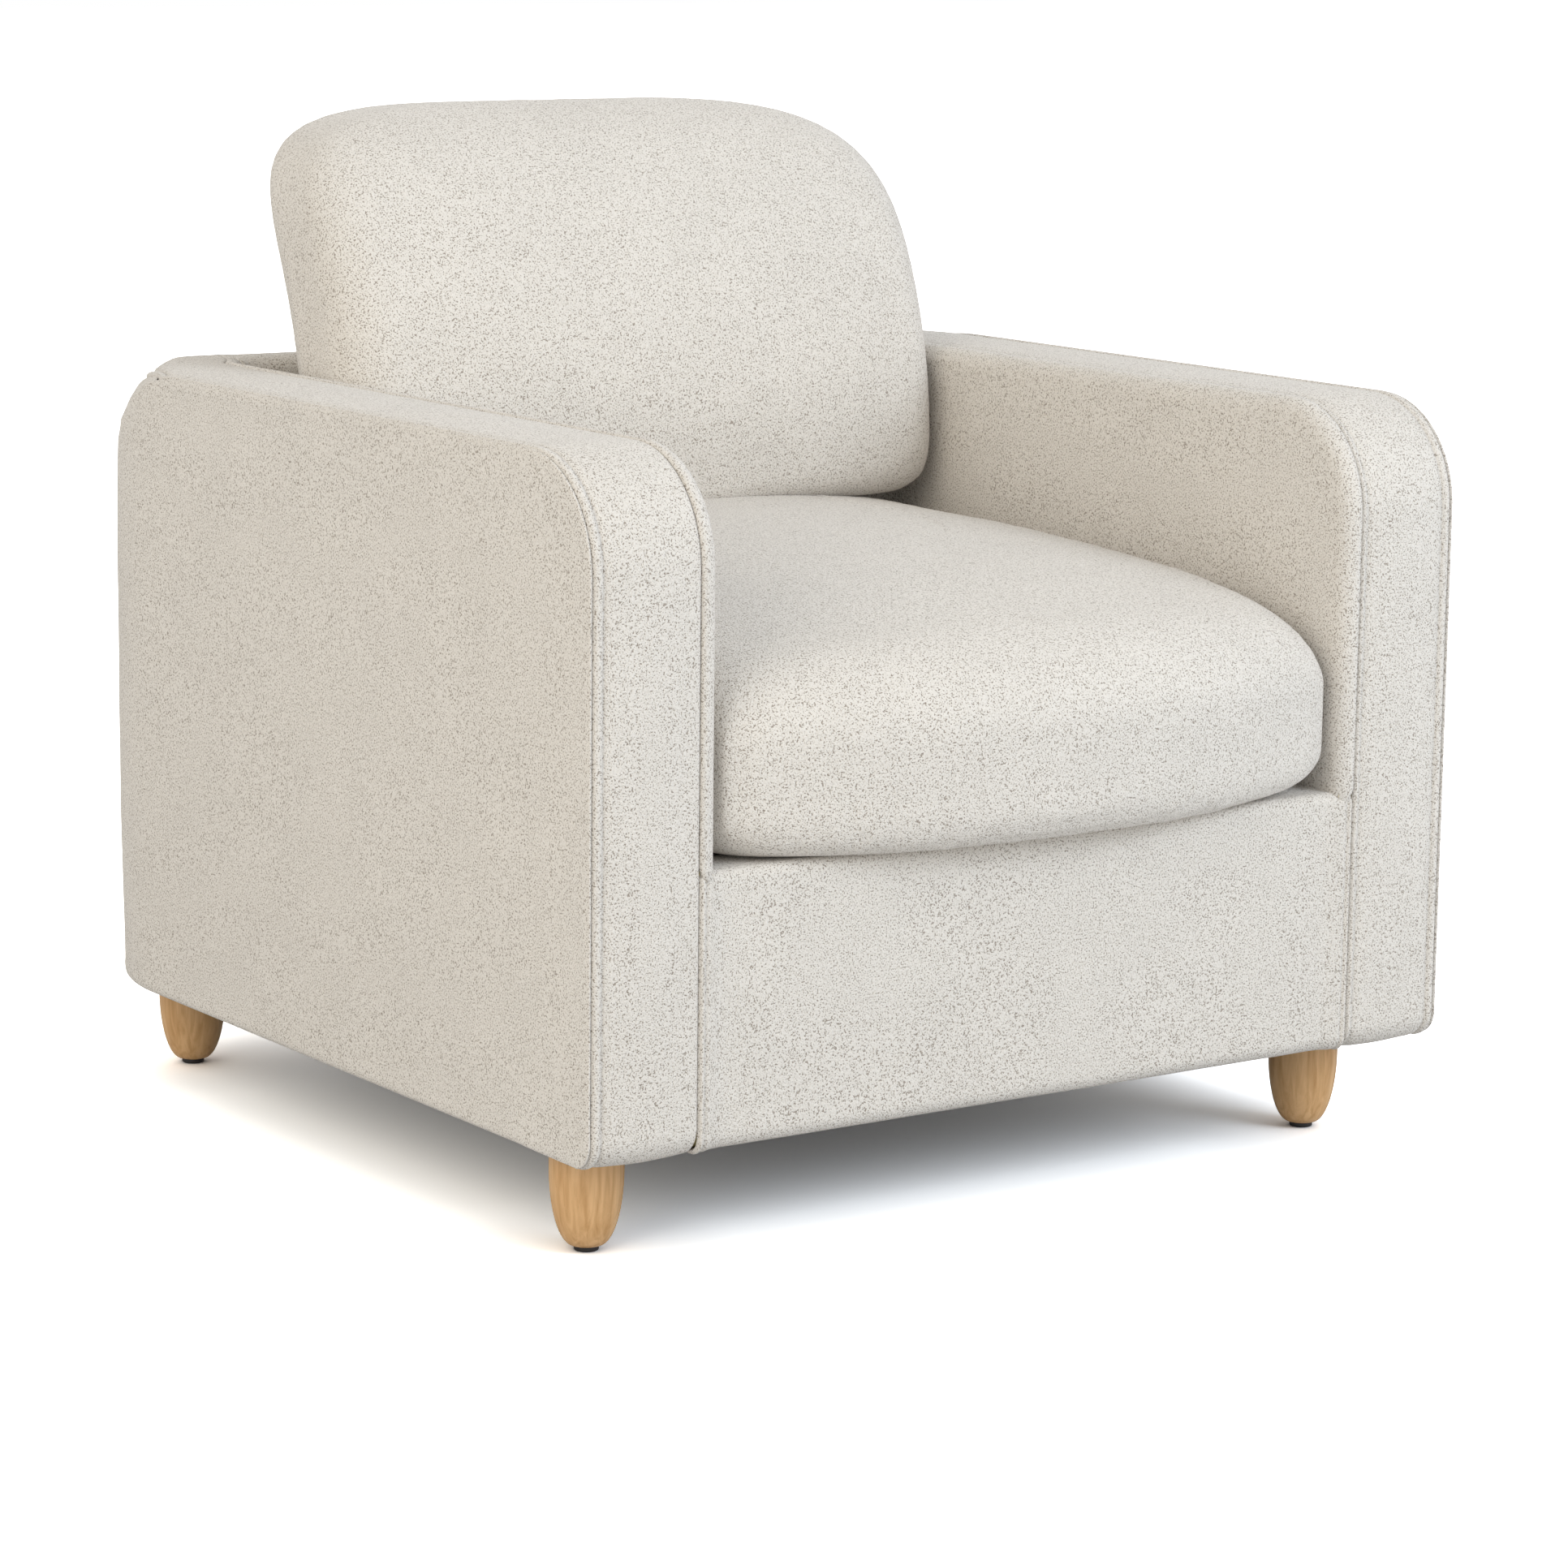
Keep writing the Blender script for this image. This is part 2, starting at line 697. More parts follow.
def into_corner(distance, z, height):
    """Turns a panel towards its neighbour near a rear corner of the bay.

    distance is measured along the panel from the corner. What comes back is the distance
    from the corner and the height off the face.
    """
    radius = fill_radius(z)
    turn = math.radians(45) * (1 - min(distance / radius, 1.0))
    if turn <= 0:
        return distance, height
    return (radius * (1 - math.sin(turn)) + height * math.sin(turn),
            radius * (1 - math.cos(turn)) + height * math.cos(turn))


def arm_inner_panel(side):
    """Inner face of an arm with its rolled edge; it turns into the inside back at the rear corner."""
    sizes = body_sizes()
    top_r = sizes.front_top_radius
    foot = DECK_Z - 0.045
    end = BACK_Y - FRONT_Y
    roll, butt = inner_roll_edge(), butt_edge()

    def place(q, z, height):
        back, off = into_corner(end - q, z, height)
        return Vector((-INNER_X + off, BACK_Y - back, z))

    sill = DECK_Z - 0.006
    loop = edge([(0.0, z) for z in span(sill, TOP_Z - top_r, 24)], roll)
    loop += edge(arc((top_r, TOP_Z - top_r), top_r, 180, 90, 24)[1:], roll)
    loop += edge([(q, TOP_Z) for q in span(top_r, end, 90)[1:]], roll)
    loop += edge([(end, z) for z in span(TOP_Z, foot, 24)[1:]], butt)
    loop += edge([(q, foot) for q in reversed(span(top_r, end, 90)[:-1])], butt)
    loop += edge([(mix(top_r, 0.0, t), mix(foot, sill, t ** 2)) for t in span(0, 1, 8)[1:-1]], butt)
    middle = (TOP_Z + foot) / 2
    name = side_word(side) + "_arm_inner_cover_sewn"
    return panel(name, without_repeats(loop), (0.12, end - 0.1, middle), on_side(place, side),
                 (side * 0.4, 0, middle), 21 + side, puff=0.001, passes=1)


def inside_back_panel():
    """Front of the back, between the arms."""
    foot = DECK_Z - 0.025
    roll, butt = inner_roll_edge(), butt_edge()

    def place(x, z, height):
        inwards, off = into_corner(INNER_X - abs(x), z, height)
        return Vector((math.copysign(INNER_X - inwards, x), BACK_Y - off, z))

    loop = edge([(-INNER_X, z) for z in span(foot, TOP_Z, 24)], butt)
    loop += edge([(x, TOP_Z) for x in span(-INNER_X, INNER_X, 90)[1:]], roll)
    loop += edge([(INNER_X, z) for z in span(TOP_Z, foot, 24)[1:]], butt)
    loop += edge([(x, foot) for x in span(INNER_X, -INNER_X, 90)[1:-1]], butt)
    middle = (TOP_Z + foot) / 2
    return panel("inside_back_cover_sewn", loop, (-0.2, 0.2, middle), place, (0, 0.4, middle), 31,
                 puff=0.001, passes=1)


def apron_profile():
    """Places ((y, z), outward) up the apron: from under the chair, over the front rail, to the deck."""
    foot_r = min(body_sizes().front_bottom_radius, 0.014)
    top_r, under = 0.009, 0.045
    foot = (APRON_Y + foot_r, UNDER_Z + foot_r)
    shoulder = (APRON_Y + top_r, DECK_Z - top_r)
    places = [((y, UNDER_Z), (0, -1)) for y in span(foot[0] + under, foot[0], 5)]
    places += turned(foot, foot_r, 270, 180, 10)[1:]
    places += [((APRON_Y, z), (-1, 0)) for z in span(foot[1], shoulder[1], 26)[1:]]
    places += turned(shoulder, top_r, 180, 90, 12)[1:]
    places += [((y, DECK_Z), (0, 1)) for y in span(shoulder[0], shoulder[0] + FRONT_TUCK, 5)[1:]]
    return places


def apron_forward(x, y):
    """How far the ends of the apron step forward, to meet the gussets of the arms."""
    beside_arm = ease((abs(x) - INNER_X + 0.004) / 0.014)
    return (APRON_Y - FRONT_Y) * beside_arm * ease((APRON_Y + FRONT_TUCK - y) / 0.03)


def apron_panel():
    """Front below the seat cushion, from seam to seam, rolled back over the front rail."""
    sizes = body_sizes()
    reach = INNER_X + sizes.inner_seam
    plain = reach - 0.034
    across = [(-reach + d, h) for d, h in topstitched_edge()]
    across += [(x, 0.0) for x in span(-plain, plain, 60)]
    across += [(reach - d, h) for d, h in reversed(topstitched_edge())]
    rows = apron_profile()
    points = []
    for (y, z), out in rows:
        for x, height in across:
            free = ease((reach - abs(x) - 0.02) / 0.06) * max(-out[0], 0.0)
            waves = 1.2 + wave((x, y, z), 0.12, 41) + 0.5 * wave((x, z, y), FINE_WAVE, 43)
            off = height + sizes.undulation * free * waves
            points.append(Vector((x, y - apron_forward(x, y) + out[0] * off, z + out[1] * off)))
    obj = new_object("apron_cover_sewn", points, grid_faces(len(rows), len(across), False))
    return weld(obj, (0, APRON_Y + 0.1, (UNDER_Z + DECK_Z) / 2))


def deck_panel():
    """Cloth of the deck, under the seat cushion."""
    butt = butt_edge()
    gap = 0.0004
    half, front, rear = INNER_X - gap, APRON_Y + FRONT_TUCK, BACK_Y - gap
    loop = edge([(-half, y) for y in span(front, rear, 30)], butt)
    loop += edge([(x, rear) for x in span(-half, half, 30)[1:]], butt)
    loop += edge([(half, y) for y in span(rear, front, 30)[1:]], butt)
    loop += edge([(x, front) for x in span(half, -half, 30)[1:-1]], butt)

    def place(x, y, height):
        return Vector((x, y, DECK_Z - 0.0008 + min(height, 0.0)))

    return panel("deck_cloth_sewn", loop, (-0.1, 0.1, (front + rear) / 2), place, (0, 0, 0), 51, puff=0.0)


# ---------- the gusset over the arm fronts, the tops and the back ----------


def gusset_section(width, banded):
    """Places across the gusset as (distance from the outer seam, height), up to the inner seam."""
    sizes = body_sizes()
    groove = sizes.groove
    stitch = sizes.outer_topstitch
    outer = [
        (0.0, -groove), (0.0007, -groove * 0.7), (0.0014, -0.0004), (0.0028, 0.0009), (0.0052, 0.0011),
        (stitch * 0.78, 0.0006), (stitch * 0.90, -0.0008), (stitch, -0.0019), (stitch * 1.10, -0.0008),
        (stitch * 1.35, 0.0004), (stitch * 1.9, 0.0010),
    ]
    if banded:
        band = sizes.inner_topstitch
        inner = [
            (0.0, -groove), (0.0006, -groove * 0.7), (0.0013, -0.0005), (band * 0.4, 0.0007),
            (band * 0.66, 0.0006), (band * 0.86, -0.0007), (band, -0.0016), (band * 1.16, -0.0006),
            (band * 1.9, 0.0008),
        ]
    else:
        inner = [
            (0.0, -groove), (0.0006, -groove * 0.8), (0.0013, -groove * 0.4), (0.0022, -groove * 0.08),
            (0.0034, 0.0003), (0.0050, 0.0006), (0.0075, 0.0009), (0.0100, 0.0011), (0.0130, 0.0012),
        ]
    first = outer[-1][0]
    last = width - inner[-1][0]
    middle = [(mix(first, last, t), mix(0.0010, 0.0012, t) + 0.0016 * math.sin(math.pi * t))
              for t in span(0, 1, 10)[1:-1]]
    return outer + middle + [(width - d, h) for d, h in reversed(inner)]


def cross_line(outer, inner):
    """Points and normals over the top, between two plan points."""
    line = []
    for t in span(0, 1, CROSSINGS):
        at = outer.lerp(inner, t)
        line.append((Vector((at.x, at.y, top_height(at.x, at.y))), top_normal(at.x, at.y)))
    return line


def along_line(line, distance):
    """Point and normal at a distance along a cross line."""
    travelled = 0.0
    for (a, na), (b, nb) in zip(line, line[1:]):
        step = (b - a).length
        if travelled + step >= distance:
            t = (distance - travelled) / step
            return a.lerp(b, t), na.lerp(nb, t).normalized()
        travelled += step
    return line[-1]


def line_length(line):
    return sum((b[0] - a[0]).length for a, b in zip(line, line[1:]))


def arm_stations():
    """Cross lines of the left gusset, from under the arm front over the top to the rear corner."""
    sizes = body_sizes()
    outer_x = -HALF_WIDTH + sizes.outer_seam
    inner_x = -INNER_X - sizes.inner_seam
    top_r, bottom_r = sizes.front_top_radius, sizes.front_bottom_radius
    foot = (FRONT_Y + bottom_r, UNDER_Z + bottom_r)
    shoulder = (FRONT_Y + top_r, TOP_Z - top_r)
    path = [((y, UNDER_Z), (0, -1)) for y in span(foot[0] + FRONT_TUCK, foot[0], 6)]
    path += turned(foot, bottom_r, 270, 180, 12)[1:]
    path += [((FRONT_Y, z), (-1, 0)) for z in span(foot[1], shoulder[1], 36)[1:]]
    path += turned(shoulder, top_r, 180, 90, 26)[1:]
    stations = []
    for (y, z), out in path:
        normal = Vector((0, out[0], out[1]))
        stations.append([(Vector((mix(outer_x, inner_x, t), y, z)), normal) for t in (0, 1)])
    for y in span(shoulder[0], corner_centre()[1], 48)[1:]:
        stations.append(cross_line(seam_point(y - FRONT_Y), Vector((inner_x, y))))
    return stations + corner_stations()


def inner_seam_point(x):
    """Plan point of the seam beside the inside back, turned into the arms at its ends."""
    sizes = body_sizes()
    radius = sizes.inner_corner + sizes.inner_seam
    past = max(abs(x) - (INNER_X - sizes.inner_corner), 0.0)
    return Vector((x, BACK_Y - sizes.inner_corner + math.sqrt(radius ** 2 - past ** 2)))


def corner_end():
    """Where the seams of an arm and of the inside back meet, as a distance from the middle."""
    sizes = body_sizes()
    return INNER_X - sizes.inner_corner + (sizes.inner_corner + sizes.inner_seam) * math.sqrt(0.5)


def corner_stations():
    """Cross lines round the rear corner, as far as the back."""
    sizes = body_sizes()
    radius = sizes.inner_corner + sizes.inner_seam
    bend = Vector((-INNER_X + sizes.inner_corner, BACK_Y - sizes.inner_corner))
    straight = bend.y - corner_centre()[1]
    total = straight + radius * math.pi / 4
    start, end = wall_side(), back_seam_q()
    stations = []
    for t in span(0, 1, 44)[1:]:
        gone = t * total
        if gone < straight:
            inner = Vector((-INNER_X - sizes.inner_seam, corner_centre()[1] + gone))
        else:
            turn = (gone - straight) / radius
            inner = bend + radius * Vector((-math.cos(turn), math.sin(turn)))
        stations.append(cross_line(seam_point(mix(start, end, t)), inner))
    return stations


def back_stations():
    """Cross lines over the back, from one rear corner to the other."""
    start = back_seam_q()
    end = corner_end()
    stations = []
    for t in span(0, 1, 90):
        outer = seam_point(mix(start, 2 * wall_half() - start, t))
        stations.append(cross_line(outer, inner_seam_point(mix(-end, end, t))))
    return stations


def strip(name, stations, banded, seed, inside, mirror):
    """A gusset laid over its cross lines."""
    points = []
    for line in stations:
        width = line_length(line)
        for distance, height in gusset_section(width, banded):
            at, normal = along_line(line, distance)
            free = min(distance, width - distance)
            lift = body_sizes().undulation * ease((free - 0.012) / 0.02) * wave(at, 0.11, seed)
            point = at + normal * (height + lift)
            points.append(mirrored(point) if mirror else point)
    rows = len(stations)
    return weld(new_object(name, points, grid_faces(rows, len(points) // rows, False)), inside)


def arm_gusset(side):
    """Strip over an arm; only the right one has a band beside its inner seam."""
    name = side_word(side) + "_arm_gusset_sewn"
    return strip(name, arm_stations(), side > 0, 61 + side, (side * 0.37, 0.0, 0.36), side > 0)


def back_gusset():
    """Strip over the back, between the two arms."""
    return strip("back_gusset_sewn", back_stations(), False, 71, (0, 0.39, 0.36), False)


# ---------- cushions ----------


def superellipse(angle, half_x, half_y, power):
    """Point on a rounded rectangle; a higher power has squarer corners."""
    c, s = math.cos(angle), math.sin(angle)
    reach = (abs(c / half_x) ** power + abs(s / half_y) ** power) ** (-1 / power)
    return reach * c, reach * s


def skin_over(name, rings, inside):
    """Closed skin over rings of equal length."""
    count = len(rings[0])
    points = [p for ring in rings for p in ring]
    faces = grid_faces(len(rings), count, True)
    for ring, start in ((rings[0], 0), (rings[-1], count * (len(rings) - 1))):
        points.append(sum(ring, Vector()) / count)
        middle = len(points) - 1
        faces += [(middle, start + k, start + (k + 1) % count) for k in range(count)]
    return weld(new_object(name, points, faces), inside)


def seat_top(x, y, half):
    """Top of the seat cushion: crowned from side to side, falling to the front, flat at the rear."""
    side_drop, droop, front_roll = 0.016, 0.022, 0.010
    ahead = max(MID_Y - y, 0.0)
    flatter = 1 - 0.25 * ease((ahead - 0.10) / 0.35)
    crown = cushion_sizes().seat_crown * (1 - abs(x / half) ** 2.2) * flatter
    fall = droop * (ahead / 0.42) ** 2
    return SEAT_HIGH.z - side_drop + crown - fall - front_roll * ease((ahead - 0.28) / 0.20)


def seat_bottom(y):
    """Underside of the seat cushion: flat on the deck, and hanging a little over the front rail."""
    return SEAT_LOW.z - cushion_sizes().seat_droop * ease((APRON_Y + 0.012 - y) / 0.05)


def seat_cushion_form(shrink):
    """Seat cushion before it is filled, drawn in all round by shrink."""
    half = INNER_X - SEAT_SIDE - shrink
    rear = SEAT_HIGH.y - shrink
    front = FRONT_Y + SEAT_SETBACK + shrink
    middle_y = (rear + front) / 2
    half_y = (rear - front) / 2
    radius_low, roll_in, roll_down = 0.036, 0.066, 0.062
    profile = [(radius_low, share, 0.0, False) for share in (0.3, 0.55, 0.75, 0.9)]
    for a in span(0, 90, 7):
        t = math.radians(a)
        profile.append((radius_low * (1 - math.sin(t)), 1.0, radius_low * (1 - math.cos(t)), False))
    for a in span(0, 90, 9):
        t = math.radians(a)
        profile.append((roll_in * (1 - math.cos(t)), 1.0, roll_down * (1 - math.sin(t)), True))
    profile += [(roll_in, share, 0.0, True) for share in (0.94, 0.86, 0.74, 0.6, 0.45, 0.3, 0.15)]
    rings = []
    for inset, share, depth, above in profile:
        ring = []
        for k in range(SEAT_POINTS):
            angle = 2 * math.pi * k / SEAT_POINTS
            level = depth / (roll_down if above else radius_low)
            power = SEAT_REAR_POWER if math.sin(angle) > 0 else mix(*SEAT_FRONT_POWERS, level)
            ahead = max(0.0, -math.sin(angle)) ** 2
            tight = mix(0.55, 1.0, ahead)
            x, dy = superellipse(angle, half - inset * 0.55, half_y - inset * tight, power)
            x, dy = x * share, dy * share
            bow = cushion_sizes().seat_bow * (1 - abs(x / half) ** 2.2) * max(0.0, -dy / half_y) ** 2
            y = middle_y + dy - bow
            if above:
                z = seat_top(x, y, half) - depth * tight - shrink
            else:
                z = seat_bottom(y) + depth + shrink * 0.3
            ring.append(Vector((x, y, z)))
        rings.append(ring)
    return skin_over("seat_cushion_cover_sewn", rings, (0, middle_y, (SEAT_LOW.z + SEAT_HIGH.z) / 2))


def back_line(z):
    """How far back the middle of the cushion's side lies at a height: upright low down, leaning above."""
    foot_y, lean, bend, bend_start = 0.177, 0.10, 1.2, 0.08
    rise = z - BACK_LOW.z
    return foot_y + lean * rise + bend * max(rise - bend_start, 0.0) ** 2


def back_cushion_form(shrink):
    """Back cushion before it is filled: thick boxed sides, crowned faces and a lean."""
    sizes = cushion_sizes()
    half_x = INNER_X - 0.002 - shrink
    bottom = BACK_LOW.z - 0.004 + shrink * 0.3
    top = BACK_HIGH.z + 0.001 - shrink
    half_z = (top - bottom) / 2
    side = sizes.back_side / 2 - shrink
    radius = 0.040
    profile = [(radius, share, 0.0, -1) for share in (0.15, 0.3, 0.45, 0.6, 0.74, 0.86, 0.94)]
    for a in span(0, 90, 8):
        t = math.radians(a)
        profile.append((radius * (1 - math.sin(t)), 1.0, radius * (1 - math.cos(t)), -1))
    mirror = [(inset, share, depth, 1) for inset, share, depth, _ in reversed(profile)]
    rings = []
    for inset, share, depth, face in profile + mirror:
        ring = []
        for k in range(BACK_POINTS):
            angle = 2 * math.pi * k / BACK_POINTS
            top_power = BACK_RIGHT_POWER if math.cos(angle) > 0 else BACK_LEFT_POWER
            power = top_power if math.sin(angle) > 0 else BACK_FOOT_POWER
            low = max(0.0, -math.sin(angle)) ** 2
            x, v = superellipse(angle, half_x - inset, half_z - inset * mix(1.0, 0.45, low), power)
            x, v = x * share, v * share
            crown = sizes.back_crown if face < 0 else sizes.back_crown_rear
            rise = crown * (1 - abs(x / half_x) ** 2.4) * (1 - abs(v / half_z) ** 2.4)
            z = bottom + half_z + v
            y = back_line(z) + face * (side + rise - depth)
            ring.append(Vector((x, y, z)))
        rings.append(ring)
    return skin_over("back_cushion_cover_sewn", rings, (0, back_line(bottom + half_z), (bottom + top) / 2))


def drawn_in(node, depth):
    """Foam of the frame, drawn in a little all round so that it stays under the covers and their seams."""
    solid = frame["nodes"][node]
    bm = bmesh.new()
    bm.from_mesh(solid.data)
    bmesh.ops.transform(bm, matrix=solid.matrix_world, verts=bm.verts)
    bmesh.ops.remove_doubles(bm, verts=bm.verts, dist=1e-5)
    bmesh.ops.recalc_face_normals(bm, faces=bm.faces)
    moves = [v.normal * depth * min(v.calc_shell_factor(), 1.8) for v in bm.verts]
    for v, move in zip(bm.verts, moves):
        v.co -= move
    shortest, upper = 0.02, TOP_Z - 0.12
    for _ in range(3):
        above = [e for e in bm.edges if max(v.co.z for v in e.verts) > upper]
        long_edges = [e for e in above if e.calc_length() > shortest]
        bmesh.ops.subdivide_edges(bm, edges=long_edges, cuts=1)
    outward = 1.014
    for v in bm.verts:
        v.co.z = min(v.co.z, top_height(v.co.x * outward, v.co.y * outward) - 2 * depth)
        v.co.z = max(v.co.z, bottom_height(min(v.co.y * outward, REAR_Y - 0.001)) + 2 * depth)
    mesh = bpy.data.meshes.new(node + "_cut")
    bm.to_mesh(mesh)
    bm.free()
    return in_scene(node + "_cut", mesh)


def remesh(obj, voxel):
    modifier = obj.modifiers.new("Remesh", "REMESH")
    modifier.mode = "VOXEL"
    modifier.voxel_size = voxel
    apply_modifiers(obj)


def apply_modifiers(obj):
    """Bakes what the modifiers make into the mesh."""
    depsgraph = bpy.context.evaluated_depsgraph_get()
    made = bpy.data.meshes.new_from_object(obj.evaluated_get(depsgraph))
    obj.modifiers.clear()
    old = obj.data
    obj.data = made
    bpy.data.meshes.remove(old)


def evened(mesh, moves, passes):
    """Evens out the moves of neighbouring points, so that a firm filling shows no wrinkles."""
    beside = [[] for _ in mesh.vertices]
    for e in mesh.edges:
        first, second = e.vertices
        beside[first].append(second)
        beside[second].append(first)
    for _ in range(passes):
        moves = [
            (moves[k] + sum((moves[n] for n in near), Vector())) / (1 + len(near))
            for k, near in enumerate(beside)
        ]
    return moves


# Cloth settings of a firm woven cover under pressure
CLOTH = {
    "quality": 5, "mass": 0.3, "tension_stiffness": 25, "compression_stiffness": 25,
    "shear_stiffness": 10, "bending_stiffness": 4.0, "use_pressure": True,
}


def fill(obj):
    """Fills a cushion by cloth simulation under pressure, with its movement evened out and capped."""
    sizes = cushion_sizes()
    rest = [v.co.copy() for v in obj.data.vertices]
    cloth = obj.modifiers.new("Cloth", "CLOTH")
    for name, value in CLOTH.items():
        setattr(cloth.settings, name, value)
    cloth.settings.uniform_pressure_force = sizes.pressure
    cloth.settings.effector_weights.gravity = 0
    cloth.point_cache.frame_start = 1
    cloth.point_cache.frame_end = sizes.frames
    scene = bpy.context.scene
    for step in range(1, sizes.frames + 1):
        scene.frame_set(step)
    apply_modifiers(obj)
    moves = [v.co - start for v, start in zip(obj.data.vertices, rest)]
    moves = evened(obj.data, moves, EVENING)
    for v, start, move in zip(obj.data.vertices, rest, moves):
        swell = min(max(move.dot(v.normal) * sizes.share, -sizes.pull), sizes.swell)
        v.co = start + v.normal * swell
    scene.frame_set(1)


def refine(obj):
    """One level of subdivision over a cushion."""
    modifier = obj.modifiers.new("Subdivision", "SUBSURF")
    modifier.levels = 1
    modifier.render_levels = 1


def settled_seat(p):
    """A point of the seat cushion, kept clear of the arms, the back and the deck."""
    half = INNER_X - SIDE_GAP
    return Vector((min(max(p.x, -half), half), min(p.y, BACK_Y - REAR_GAP), max(p.z, DECK_Z + FOOT_GAP)))


def settled_back(p):
    """A point of the back cushion, kept clear of the arms, the inside back and its own seat."""
    half = INNER_X - SIDE_GAP
    y = min(p.y, BACK_Y - SIDE_GAP) if p.z < TOP_Z else p.y
    return Vector((min(max(p.x, -half), half), y, max(p.z, BACK_LOW.z + FOOT_GAP)))


def made_cushion(form, settled):
    """A cushion from its form: filled, kept clear of its neighbours and smoothed."""
    obj = form(FILL_ROOM)
    remesh(obj, cushion_sizes().voxel)
    fill(obj)
    for v in obj.data.vertices:
        v.co = settled(v.co)
    smooth(obj)
    refine(obj)
    return obj


# ---------- legs ----------


def lathe(name, outline, centre, steps=72):
    """Turns an outline of (radius, height) round an upright axis."""
    rings = []
    for radius, z in outline:
        rings.append([
            Vector((centre[0] + radius * math.cos(2 * math.pi * k / steps),
                    centre[1] + radius * math.sin(2 * math.pi * k / steps), z))
            for k in range(steps)
        ])
    return skin_over(name, rings, (centre[0], centre[1], (outline[0][1] + outline[-1][1]) / 2))


def leg_outline(node):
    """Straight top, then a long elliptical taper to a small flat foot."""
    lowest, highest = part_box(node)
    radius = (highest.x - lowest.x) / 2
    tip = 0.011
    straight = 0.024
    taper = highest.z - straight - lowest.z
    edge_round = 0.0015
    outline = [(tip - edge_round, lowest.z)]
    for a in span(90, 0, 36):
        t = math.radians(a)
        outline.append((tip + (radius - tip) * math.cos(t), lowest.z + taper * (1 - math.sin(t))))
    outline += [(radius, highest.z - edge_round), (radius - edge_round, highest.z)]
    return outline


def leg_centre(node):
    lowest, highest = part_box(node)
    return (lowest.x + highest.x) / 2, (lowest.y + highest.y) / 2


def glide_outline():
    radius, bevel = 0.010, 0.0009
    return [(radius - bevel * 1.6, 0.0), (radius - bevel * 0.5, 0.0004), (radius, bevel * 1.3),
            (radius, GLIDE_TOP - bevel), (radius - bevel * 0.3, GLIDE_TOP - bevel * 0.3),
            (radius - bevel, GLIDE_TOP)]


def joined(name, objects):
    """One object from several."""
    points, faces = [], []
    for obj in objects:
        start = len(points)
        points += [v.co.copy() for v in obj.data.vertices]
        faces += [tuple(start + i for i in p.vertices) for p in obj.data.polygons]
        mesh = obj.data
        bpy.data.objects.remove(obj)
        bpy.data.meshes.remove(mesh)
    made = new_object(name, points, faces)
    smooth(made)
    return made


# ---------- materials ----------


def set_stops(colour_ramp, stops):
    """Gives a colour ramp its stops of (place, linear colour)."""
    elements = colour_ramp.elements
    while len(elements) < len(stops):
        elements.new(0.5)
    for element, (at, value) in zip(elements, stops):
        element.position = at
        element.color = value


def add(tree, kind, settings=None, links=None):
    """Adds a node, with its settings by attribute or socket name and its links as socket: source socket."""
    node = tree.nodes.new(kind)
    for name, value in (settings or {}).items():
        if name == "stops":
            set_stops(node.color_ramp, value)
        elif isinstance(name, int) or name in node.inputs.keys():
            node.inputs[name].default_value = value
        else:
            setattr(node, name, value)
    for socket, source in (links or {}).items():
        tree.links.new(source, node.inputs[socket])
    return node


def blank_material(name):
    """A material with only its output and shader, and the object's own coordinates."""
    material = bpy.data.materials.new(name)
    material.use_nodes = True
    tree = material.node_tree
    tree.nodes.clear()
    shader = add(tree, "ShaderNodeBsdfPrincipled")
    output = add(tree, "ShaderNodeOutputMaterial")
    tree.links.new(shader.outputs["BSDF"], output.inputs["Surface"])
    place = add(tree, "ShaderNodeTexCoord").outputs["Object"]
    return material, tree, shader, place


def surface(tree, shader, tone, relief, strength, depth):
    """Gives a shader its colour, and its relief as a bump with a strength and a depth in metres."""
    tree.links.new(tone, shader.inputs["Base Color"])
    bump = add(tree, "ShaderNodeBump", {"Strength": strength, "Distance": depth}, {"Height": relief})
    tree.links.new(bump.outputs["Normal"], shader.inputs["Normal"])


def set_inputs(shader, **values):
    """Sets plain inputs of a shader, named with _ for a space."""
    for name, value in values.items():
        shader.inputs[name.replace("_", " ")].default_value = value


def grey(value):
    return (value, value, value, 1.0)


def from_dark(hex_colour, share, start, end):
    """Stops from a darker share of a colour to the colour itself."""
    light = linear(hex_colour)
    return [(start, tuple(c * share for c in light[:3]) + (1.0,)), (end, light)]


